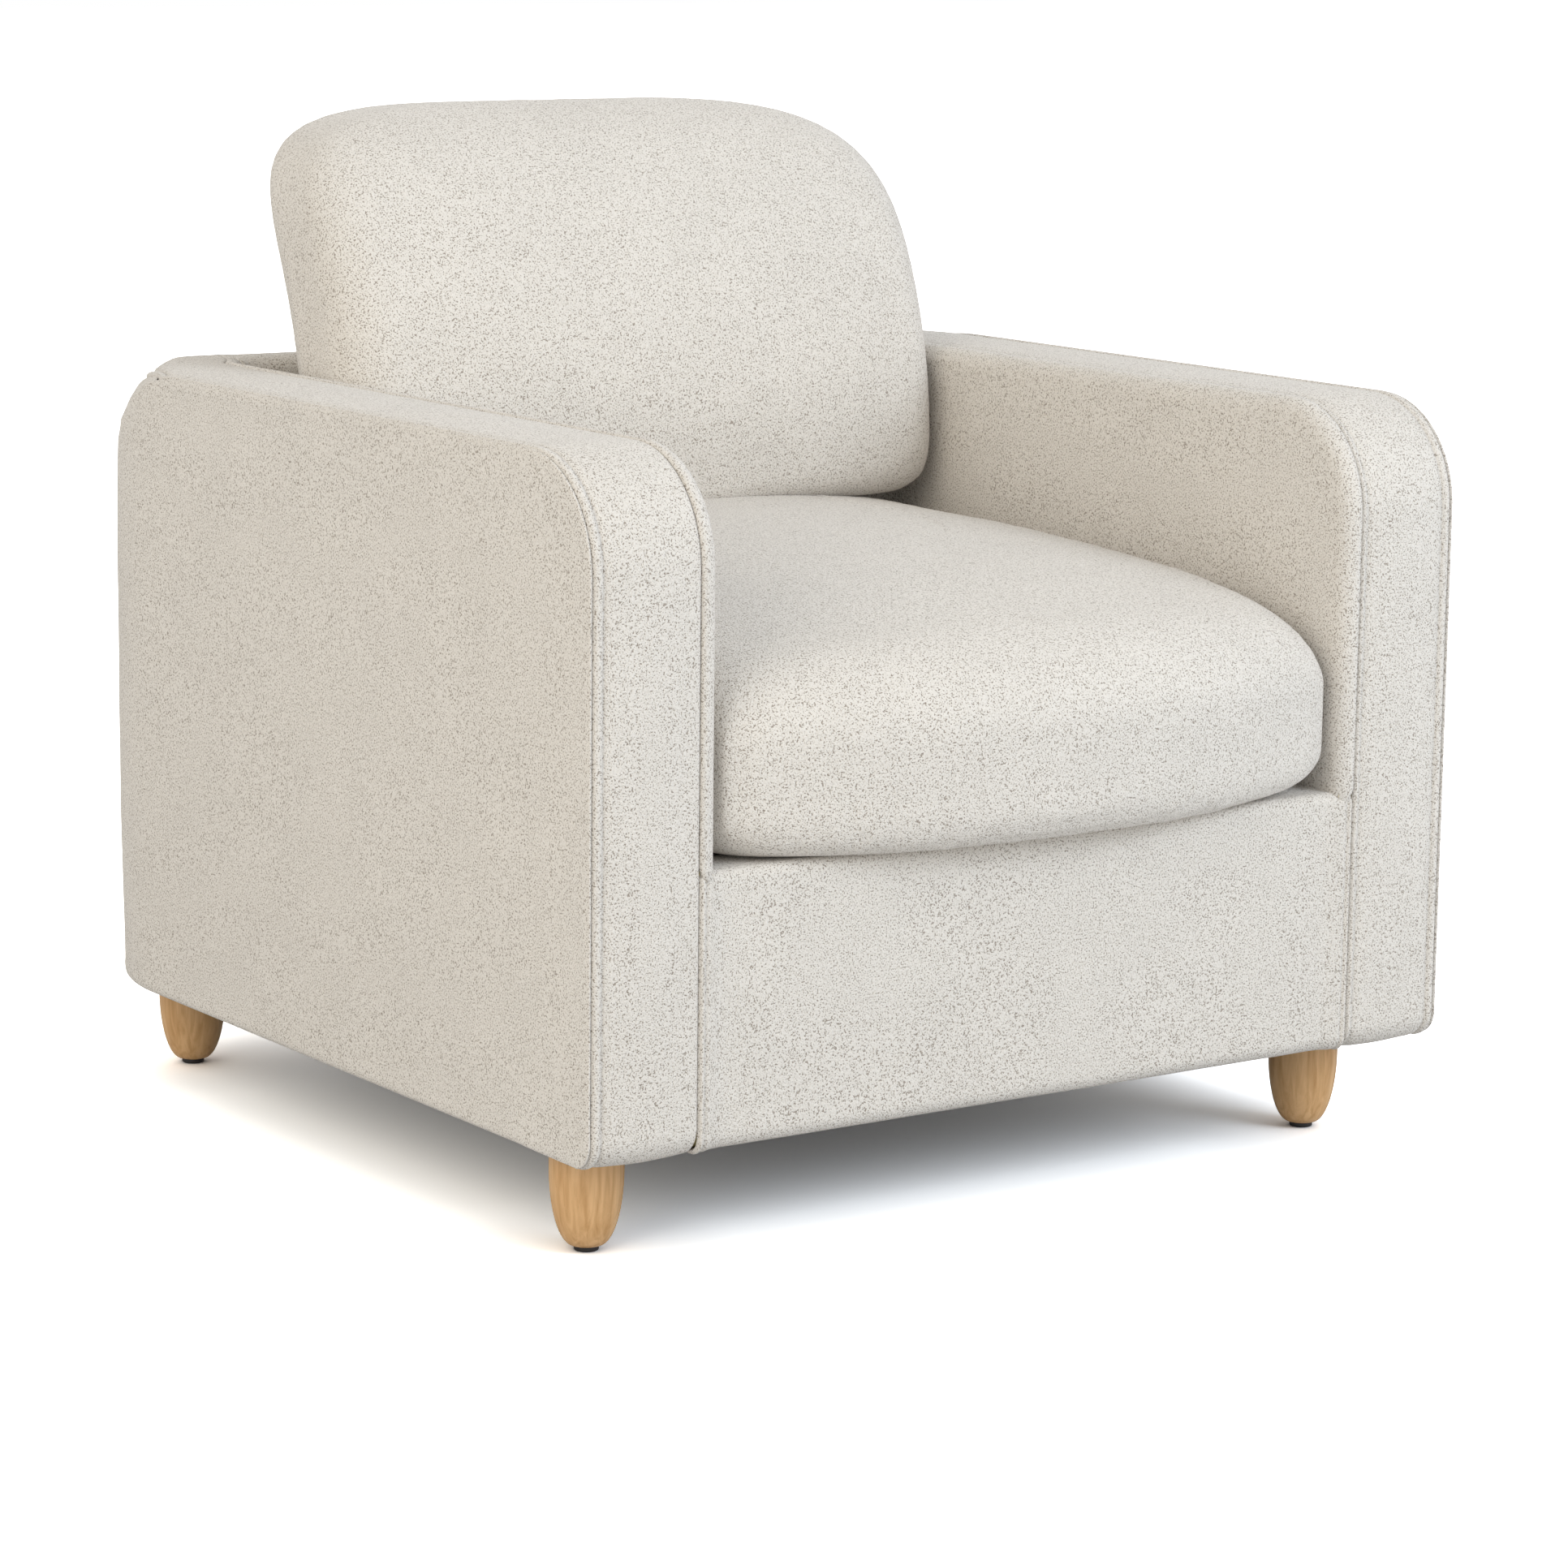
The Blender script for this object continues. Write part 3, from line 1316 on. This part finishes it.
def boucle_material():
    """Woven boucle: looped yarn, so the eye sees fine soft nubs with small dark pits between them."""
    colours = bpy.context.scene.armchair_colours
    material, tree, shader, place = blank_material("cream_boucle_woven")
    nub = 1 / (1.7 * MM)
    warp = add(tree, "ShaderNodeTexNoise", {"Scale": nub * 0.7, "Detail": 1.0}, {"Vector": place})
    bent = add(tree, "ShaderNodeVectorMath", {"operation": "SCALE", "Scale": 1.6 * MM},
               {"Vector": warp.outputs["Color"]})
    moved = add(tree, "ShaderNodeVectorMath", {"operation": "ADD"}, {0: place, 1: bent.outputs["Vector"]})
    loops = add(tree, "ShaderNodeTexVoronoi", {"feature": "SMOOTH_F1", "Scale": nub, "Smoothness": 0.6},
                {"Vector": moved.outputs["Vector"]}).outputs["Distance"]
    curls = add(tree, "ShaderNodeTexNoise", {"Scale": nub * 1.25, "Detail": 1.5, "Roughness": 0.5},
                {"Vector": place}).outputs["Fac"]
    soft = add(tree, "ShaderNodeTexNoise", {"Scale": 16.0, "Detail": 2.0}, {"Vector": place})
    pit_stops = [(0.0, grey(0.95)), (0.35, grey(0.95)), (0.455, grey(0)), (1.0, grey(0))]
    pits = add(tree, "ShaderNodeValToRGB", {"stops": pit_stops}, {"Fac": curls})
    yarn = {"data_type": "RGBA", "A": linear(colours.boucle), "B": linear(colours.boucle_fleck)}
    flecks = add(tree, "ShaderNodeMix", yarn, {"Factor": loops})
    dark = add(tree, "ShaderNodeMix", {"data_type": "RGBA", "B": linear(colours.boucle_pit)},
               {"Factor": pits.outputs["Color"], "A": flecks.outputs["Result"]})
    broad = add(tree, "ShaderNodeValToRGB", {"stops": [(0.3, grey(0.965)), (0.7, grey(1.0))]},
                {"Fac": soft.outputs["Fac"]})
    tint = add(tree, "ShaderNodeMix", {"data_type": "RGBA", "blend_type": "MULTIPLY", "Factor": 1.0},
               {"A": dark.outputs["Result"], "B": broad.outputs["Color"]})
    heights = add(tree, "ShaderNodeMath", {"operation": "MULTIPLY_ADD", 1: -0.6}, {0: loops, 2: curls})
    surface(tree, shader, tint.outputs["Result"], heights.outputs["Value"], 0.7, 1.2 * MM)
    set_inputs(shader, Roughness=0.92, Sheen_Weight=0.25, Sheen_Roughness=0.5, Specular_IOR_Level=0.25)
    return material


def oak_material():
    """Turned oak under matt lacquer: long grain with short dark pores and a low sheen."""
    colours = bpy.context.scene.armchair_colours
    material, tree, shader, place = blank_material("oak_turned_matt_lacquer")
    along = add(tree, "ShaderNodeMapping", {"Scale": (1.0, 1.0, 0.09)}, {"Vector": place})
    wander = {"Scale": 150.0, "Detail": 5.0, "Roughness": 0.55, "Distortion": 0.6}
    rings = add(tree, "ShaderNodeTexNoise", wander, {"Vector": along.outputs["Vector"]}).outputs["Fac"]
    growth = [(0.30, linear(colours.oak_grain)), (0.62, linear(colours.oak))]
    tone = add(tree, "ShaderNodeValToRGB", {"stops": growth}, {"Fac": rings})
    long_pores = add(tree, "ShaderNodeMapping", {"Scale": (1, 1, 0.07)}, {"Vector": place})
    pores = add(tree, "ShaderNodeTexVoronoi", {"Scale": 900.0}, {"Vector": long_pores.outputs["Vector"]})
    dots = add(tree, "ShaderNodeValToRGB", {"stops": [(0.0, grey(0.80)), (0.22, grey(1.0))]},
               {"Fac": pores.outputs["Distance"]})
    base = add(tree, "ShaderNodeMix", {"data_type": "RGBA", "blend_type": "MULTIPLY", "Factor": 1.0},
               {"A": tone.outputs["Color"], "B": dots.outputs["Color"]})
    surface(tree, shader, base.outputs["Result"], rings, 0.12, 0.4 * MM)
    gloss = add(tree, "ShaderNodeValToRGB", {"stops": [(0.3, grey(0.50)), (0.7, grey(0.40))]},
                {"Fac": rings})
    tree.links.new(gloss.outputs["Color"], shader.inputs["Roughness"])
    return material


def timber_material(name, hex_colour, axis_scale, grain):
    """Sawn timber: straight grain with a rough, dry face."""
    material, tree, shader, place = blank_material(name)
    along = add(tree, "ShaderNodeMapping", {"Scale": axis_scale}, {"Vector": place})
    wander = {"Scale": grain, "Detail": 4.0, "Roughness": 0.6, "Distortion": 0.4}
    lines = add(tree, "ShaderNodeTexNoise", wander, {"Vector": along.outputs["Vector"]}).outputs["Fac"]
    tone = add(tree, "ShaderNodeValToRGB", {"stops": from_dark(hex_colour, 0.62, 0.3, 0.6)}, {"Fac": lines})
    surface(tree, shader, tone.outputs["Color"], lines, 0.3, 0.5 * MM)
    set_inputs(shader, Roughness=0.78)
    return material


def cellular_material(name, hex_colour, cell, depth):
    """Cut foam or needled felt: a dull face broken by small cells."""
    material, tree, shader, place = blank_material(name)
    cells = add(tree, "ShaderNodeTexVoronoi", {"Scale": 1 / cell}, {"Vector": place}).outputs["Distance"]
    tone = add(tree, "ShaderNodeValToRGB", {"stops": from_dark(hex_colour, 0.6, 0.05, 0.45)}, {"Fac": cells})
    surface(tree, shader, tone.outputs["Color"], cells, 0.5, depth)
    set_inputs(shader, Roughness=0.95)
    return material


def woven_material(name, hex_colour, thread):
    """Plain woven tape or cloth: crossing threads, so a fine square ribbing."""
    material, tree, shader, place = blank_material(name)
    ribs = 1 / thread / 6.28
    across, down = (
        add(tree, "ShaderNodeTexWave", {"Scale": ribs, "bands_direction": axis}, {"Vector": place})
        for axis in "XZ"
    )
    weave = add(tree, "ShaderNodeMath", {"operation": "MULTIPLY"},
                {0: across.outputs["Fac"], 1: down.outputs["Fac"]}).outputs["Value"]
    tone = add(tree, "ShaderNodeValToRGB", {"stops": from_dark(hex_colour, 0.55, 0.0, 0.6)}, {"Fac": weave})
    surface(tree, shader, tone.outputs["Color"], weave, 0.5, 0.4 * MM)
    set_inputs(shader, Roughness=0.85)
    return material


def steel_material():
    """Drawn steel wire and pressed clips: bright, with fine drawing marks."""
    colours = bpy.context.scene.armchair_colours
    material, tree, shader, place = blank_material("steel_drawn_bright")
    marks = add(tree, "ShaderNodeTexNoise", {"Scale": 900.0, "Detail": 3.0},
                {"Vector": place}).outputs["Fac"]
    tone = add(tree, "ShaderNodeValToRGB", {"stops": from_dark(colours.steel, 0.7, 0.3, 0.7)},
               {"Fac": marks})
    gloss = add(tree, "ShaderNodeValToRGB", {"stops": [(0.3, grey(0.42)), (0.7, grey(0.28))]},
                {"Fac": marks})
    tree.links.new(tone.outputs["Color"], shader.inputs["Base Color"])
    tree.links.new(gloss.outputs["Color"], shader.inputs["Roughness"])
    set_inputs(shader, Metallic=1.0)
    return material


def glide_material():
    """Moulded nylon glide: near black with a fine spark-eroded grain."""
    colours = bpy.context.scene.armchair_colours
    material, tree, shader, place = blank_material("nylon_moulded_black")
    grit = add(tree, "ShaderNodeTexNoise", {"Scale": 1 / (0.8 * MM), "Detail": 2.0},
               {"Vector": place}).outputs["Fac"]
    tone = add(tree, "ShaderNodeValToRGB", {"stops": from_dark(colours.glide, 0.75, 0.3, 0.7)},
               {"Fac": grit})
    surface(tree, shader, tone.outputs["Color"], grit, 0.2, 0.2 * MM)
    set_inputs(shader, Roughness=0.5)
    return material


MATERIALS = {}


def material(name):
    """Makes a material once, by its plain name."""
    if name not in MATERIALS:
        colours = bpy.context.scene.armchair_colours
        makers = {
            "boucle": boucle_material,
            "oak": oak_material,
            "steel": steel_material,
            "glide": glide_material,
            "pine": lambda: timber_material("pine_sawn", colours.pine, (0.12, 1.0, 1.0), 120.0),
            "birch": lambda: timber_material("birch_plywood_veneer", colours.birch, (1.0, 1.0, 0.08), 160.0),
            "foam": lambda: cellular_material("polyurethane_foam_cut", colours.foam, 1.6 * MM, 0.0008),
            "felt": lambda: cellular_material("felt_needled", colours.felt, 0.9 * MM, 0.0005),
            "dust": lambda: cellular_material("polypropylene_spun", colours.dust, 1.2 * MM, 0.0003),
            "webbing": lambda: woven_material("elastic_webbing_woven", colours.webbing, 2.5 * MM),
            "zip": lambda: woven_material("polyester_zip_tape_woven", colours.zip_tape, 1.0 * MM),
        }
        MATERIALS[name] = makers[name]()
    return MATERIALS[name]


FRAME_FINISHES = {
    "timber": "pine", "plywood": "birch", "foam": "foam", "steel": "steel", "dust_cloth": "dust",
    "webbing": "webbing", "felt": "felt", "zip_tape": "zip", "cover_fabric": "boucle", "oak": "oak",
    "glide_plastic": "glide",
}


# ---------- operators ----------


class ArmchairOperator:
    bl_options = {"REGISTER", "UNDO"}

    def execute(self, context):
        self.make()
        return {"FINISHED"}


class ARMCHAIR_OT_frame_finishes(ArmchairOperator, bpy.types.Operator):
    """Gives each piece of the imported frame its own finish"""
    bl_idname = "armchair.frame_finishes"
    bl_label = "Frame finishes"

    def make(self):
        for row in frame["record"]["subparts"]:
            cover(frame["nodes"][row["node"]], material(FRAME_FINISHES[row["material_slot"]]))


class ARMCHAIR_OT_arm_panels(ArmchairOperator, bpy.types.Operator):
    """Sews the outer and inner panels of both arms"""
    bl_idname = "armchair.arm_panels"
    bl_label = "Arm panels"

    def make(self):
        for side in (-1, 1):
            outer, inner = side_word(side) + "_arm_outer_cover", side_word(side) + "_arm_inner_cover"
            sew([(arm_outer_panel(side), outer), (arm_inner_panel(side), inner)])


class ARMCHAIR_OT_gussets(ArmchairOperator, bpy.types.Operator):
    """Sews the gussets over the arm fronts, the arm tops and the back"""
    bl_idname = "armchair.gussets"
    bl_label = "Gussets"

    def make(self):
        sew([
            (arm_gusset(-1), "left_arm_gusset"), (arm_gusset(1), "right_arm_gusset"),
            (back_gusset(), "back_gusset"),
        ])


class ARMCHAIR_OT_back_panels(ArmchairOperator, bpy.types.Operator):
    """Sews the inside and the outside back panel"""
    bl_idname = "armchair.back_panels"
    bl_label = "Back panels"

    def make(self):
        sew([(inside_back_panel(), "inside_back_cover"), (outside_back_panel(), "outside_back_cover")])


class ARMCHAIR_OT_apron(ArmchairOperator, bpy.types.Operator):
    """Sews the apron below the seat cushion and the deck cloth behind it"""
    bl_idname = "armchair.apron"
    bl_label = "Apron and deck"

    def make(self):
        sew([(apron_panel(), "apron_cover"), (deck_panel(), "deck_cloth")])


class ARMCHAIR_OT_padding(ArmchairOperator, bpy.types.Operator):
    """Cuts the foam under the covers and the cores of the cushions"""
    bl_idname = "armchair.padding"
    bl_label = "Padding"

    def make(self):
        for node in ("left_arm_foam", "right_arm_foam", "back_foam", "apron_foam"):
            dress(drawn_in(node, FOAM_DEPTH), material("foam"), "frame", "foam", node)
        core = seat_cushion_form(CORE_DEPTH)
        core.name = "seat_cushion_foam_cut"
        dress(core, material("foam"), "seat_cushion", "foam", "seat_cushion_foam")
        filling = back_cushion_form(CORE_DEPTH)
        filling.name = "back_cushion_filling_blown"
        dress(filling, material("foam"), "back_cushion", "foam", "back_cushion_filling")


class ARMCHAIR_OT_seat_cushion(ArmchairOperator, bpy.types.Operator):
    """Makes the filled seat cushion"""
    bl_idname = "armchair.seat_cushion"
    bl_label = "Seat cushion"

    def make(self):
        piece = made_cushion(seat_cushion_form, settled_seat)
        dress(piece, material("boucle"), "seat_cushion", "cover_fabric", "seat_cushion_cover")


class ARMCHAIR_OT_back_cushion(ArmchairOperator, bpy.types.Operator):
    """Makes the filled back cushion"""
    bl_idname = "armchair.back_cushion"
    bl_label = "Back cushion"

    def make(self):
        piece = made_cushion(back_cushion_form, settled_back)
        dress(piece, material("boucle"), "back_cushion", "cover_fabric", "back_cushion_cover")


class ARMCHAIR_OT_legs(ArmchairOperator, bpy.types.Operator):
    """Turns the four oak legs and their glides"""
    bl_idname = "armchair.legs"
    bl_label = "Legs and glides"

    def make(self):
        nodes = ("front_left_leg", "front_right_leg", "rear_left_leg", "rear_right_leg")
        for node in nodes:
            piece = lathe(node + "_turned", leg_outline(node), leg_centre(node))
            dress(piece, material("oak"), "frame", "oak", node)
        discs = [lathe("glide", glide_outline(), leg_centre(node), 48) for node in nodes]
        glides = joined("floor_glides_moulded", discs)
        dress(glides, material("glide"), "frame", "glide_plastic", "floor_glides")


class ARMCHAIR_OT_stage(ArmchairOperator, bpy.types.Operator):
    """Sets the floor, the background, the lamps and the camera"""
    bl_idname = "armchair.stage"
    bl_label = "Stage"

    def make(self):
        bpy.context.scene.view_settings.view_transform = "Standard"
        make_floor()
        make_world()
        make_lamps()
        make_camera()


# ---------- stage ----------


def make_floor():
    """Plain pale floor: white to the camera, grey to the other rays, and it keeps the chair's shadow."""
    reach = 30
    corners = [(-reach, -reach, 0), (reach, -reach, 0), (reach, reach, 0), (-reach, reach, 0)]
    floor = new_object("floor", corners, [(0, 1, 2, 3)])
    paint = bpy.data.materials.new("floor_painted_white")
    paint.use_nodes = True
    tree = paint.node_tree
    tree.nodes.clear()
    plain = add(tree, "ShaderNodeBsdfDiffuse", {"Color": grey(0.60)}).outputs["BSDF"]
    shade = add(tree, "ShaderNodeAmbientOcclusion", {"samples": 12, "Distance": 0.11, "Color": grey(0.97)})
    deep = add(tree, "ShaderNodeMix", {"data_type": "RGBA", "Factor": 0.82, "A": grey(0.97)},
               {"B": shade.outputs["Color"]}).outputs["Result"]
    pale = add(tree, "ShaderNodeBsdfDiffuse", {}, {"Color": deep}).outputs["BSDF"]
    double = add(tree, "ShaderNodeAddShader", {}, {0: pale, 1: pale}).outputs["Shader"]
    shown = add(tree, "ShaderNodeAddShader", {}, {0: double, 1: pale}).outputs["Shader"]
    path = add(tree, "ShaderNodeLightPath")
    both = add(tree, "ShaderNodeMixShader", {}, {0: path.outputs["Is Camera Ray"], 1: plain, 2: shown})
    add(tree, "ShaderNodeOutputMaterial", {}, {"Surface": both.outputs["Shader"]})
    cover(floor, paint)


def make_world():
    """White to the camera, and a soft light on the object that is weaker from above."""
    world = bpy.data.worlds.new("studio")
    bpy.context.scene.world = world
    world.use_nodes = True
    tree = world.node_tree
    tree.nodes.clear()
    rays = add(tree, "ShaderNodeLightPath").outputs
    seen = rays["Is Camera Ray"]
    for kind in ("Is Glossy Ray", "Is Transmission Ray"):
        either = add(tree, "ShaderNodeMath", {"operation": "MAXIMUM"}, {0: seen, 1: rays[kind]})
        seen = either.outputs["Value"]
    place = add(tree, "ShaderNodeTexCoord").outputs["Generated"]
    height = add(tree, "ShaderNodeSeparateXYZ", {}, {"Vector": place}).outputs["Z"]
    fall = add(tree, "ShaderNodeMapRange", {"To Min": 1.05, "To Max": 0.58}, {"Value": height})
    lit = add(tree, "ShaderNodeBackground", {"Color": linear("#FFFEFC")},
              {"Strength": fall.outputs["Result"]})
    shown = add(tree, "ShaderNodeBackground", {"Color": grey(1.0), "Strength": 1.0})
    both = add(tree, "ShaderNodeMixShader", {},
               {"Fac": seen, 1: lit.outputs["Background"], 2: shown.outputs["Background"]})
    add(tree, "ShaderNodeOutputWorld", {}, {"Surface": both.outputs["Shader"]})


def make_lamp(name, place, size, power, colour_of_light):
    """A round lamp that is aimed at the middle of the chair."""
    data = bpy.data.lights.new(name, "AREA")
    data.shape = "DISK"
    data.size = size
    data.energy = power
    data.color = colour_of_light
    lamp = in_scene(name, data)
    lamp.location = place
    lamp.rotation_euler = (Vector((0, 0, 0.4)) - Vector(place)).to_track_quat("-Z", "Y").to_euler()


def make_lamps():
    """A cool key lamp from the right and a warm fill from the left."""
    make_lamp("key_lamp", (1.9, -3.9, 2.5), 2.4, 96, (0.80, 0.89, 1.0))
    make_lamp("fill_lamp", (-3.6, -1.6, 2.2), 3.0, 50, (1.0, 0.91, 0.76))


def make_camera():
    stage = bpy.context.scene.armchair_stage
    data = bpy.data.cameras.new("camera")
    data.sensor_width = 36
    data.lens = stage.lens
    camera = in_scene("camera", data)
    level = math.cos(stage.pitch)
    forward = Vector((math.sin(stage.yaw) * level, math.cos(stage.yaw) * level, -math.sin(stage.pitch)))
    right = Vector((math.cos(stage.yaw), -math.sin(stage.yaw), 0))
    up = right.cross(forward)
    c, s = math.cos(stage.roll), math.sin(stage.roll)
    turned_right, turned_up = c * right + s * up, c * up - s * right
    turn = Matrix((turned_right, turned_up, -forward)).transposed()
    camera.matrix_world = Matrix.Translation(Vector(stage.camera)) @ turn.to_4x4()
    bpy.context.scene.camera = camera


class ARMCHAIR_PT_sidebar(bpy.types.Panel):
    bl_idname = "ARMCHAIR_PT_sidebar"
    bl_label = "Armchair"
    bl_space_type = "VIEW_3D"
    bl_region_type = "UI"
    bl_category = "Armchair"

    def draw(self, context):
        for operator in OPERATORS:
            self.layout.operator(operator.bl_idname)
        for group in GROUPS:
            box = self.layout.box()
            holder = getattr(context.scene, GROUPS[group])
            for name in group.__annotations__:
                box.prop(holder, name)


GROUPS = {
    ArmchairBodySizes: "armchair_body",
    ArmchairCushionSizes: "armchair_cushions",
    ArmchairColours: "armchair_colours",
    ArmchairStage: "armchair_stage",
}
OPERATORS = (
    ARMCHAIR_OT_frame_finishes, ARMCHAIR_OT_arm_panels, ARMCHAIR_OT_gussets, ARMCHAIR_OT_back_panels,
    ARMCHAIR_OT_apron, ARMCHAIR_OT_padding, ARMCHAIR_OT_seat_cushion, ARMCHAIR_OT_back_cushion,
    ARMCHAIR_OT_legs, ARMCHAIR_OT_stage,
)


def register():
    for group, holder in GROUPS.items():
        bpy.utils.register_class(group)
        setattr(bpy.types.Scene, holder, PointerProperty(type=group))
    for operator in OPERATORS:
        bpy.utils.register_class(operator)
    bpy.utils.register_class(ARMCHAIR_PT_sidebar)


def unregister():
    bpy.utils.unregister_class(ARMCHAIR_PT_sidebar)
    for operator in reversed(OPERATORS):
        bpy.utils.unregister_class(operator)
    for group, holder in GROUPS.items():
        delattr(bpy.types.Scene, holder)
        bpy.utils.unregister_class(group)


def main():
    register()
    for operator in OPERATORS:
        area, name = operator.bl_idname.split(".")
        getattr(getattr(bpy.ops, area), name)()


if __name__ == "__main__":
    main()
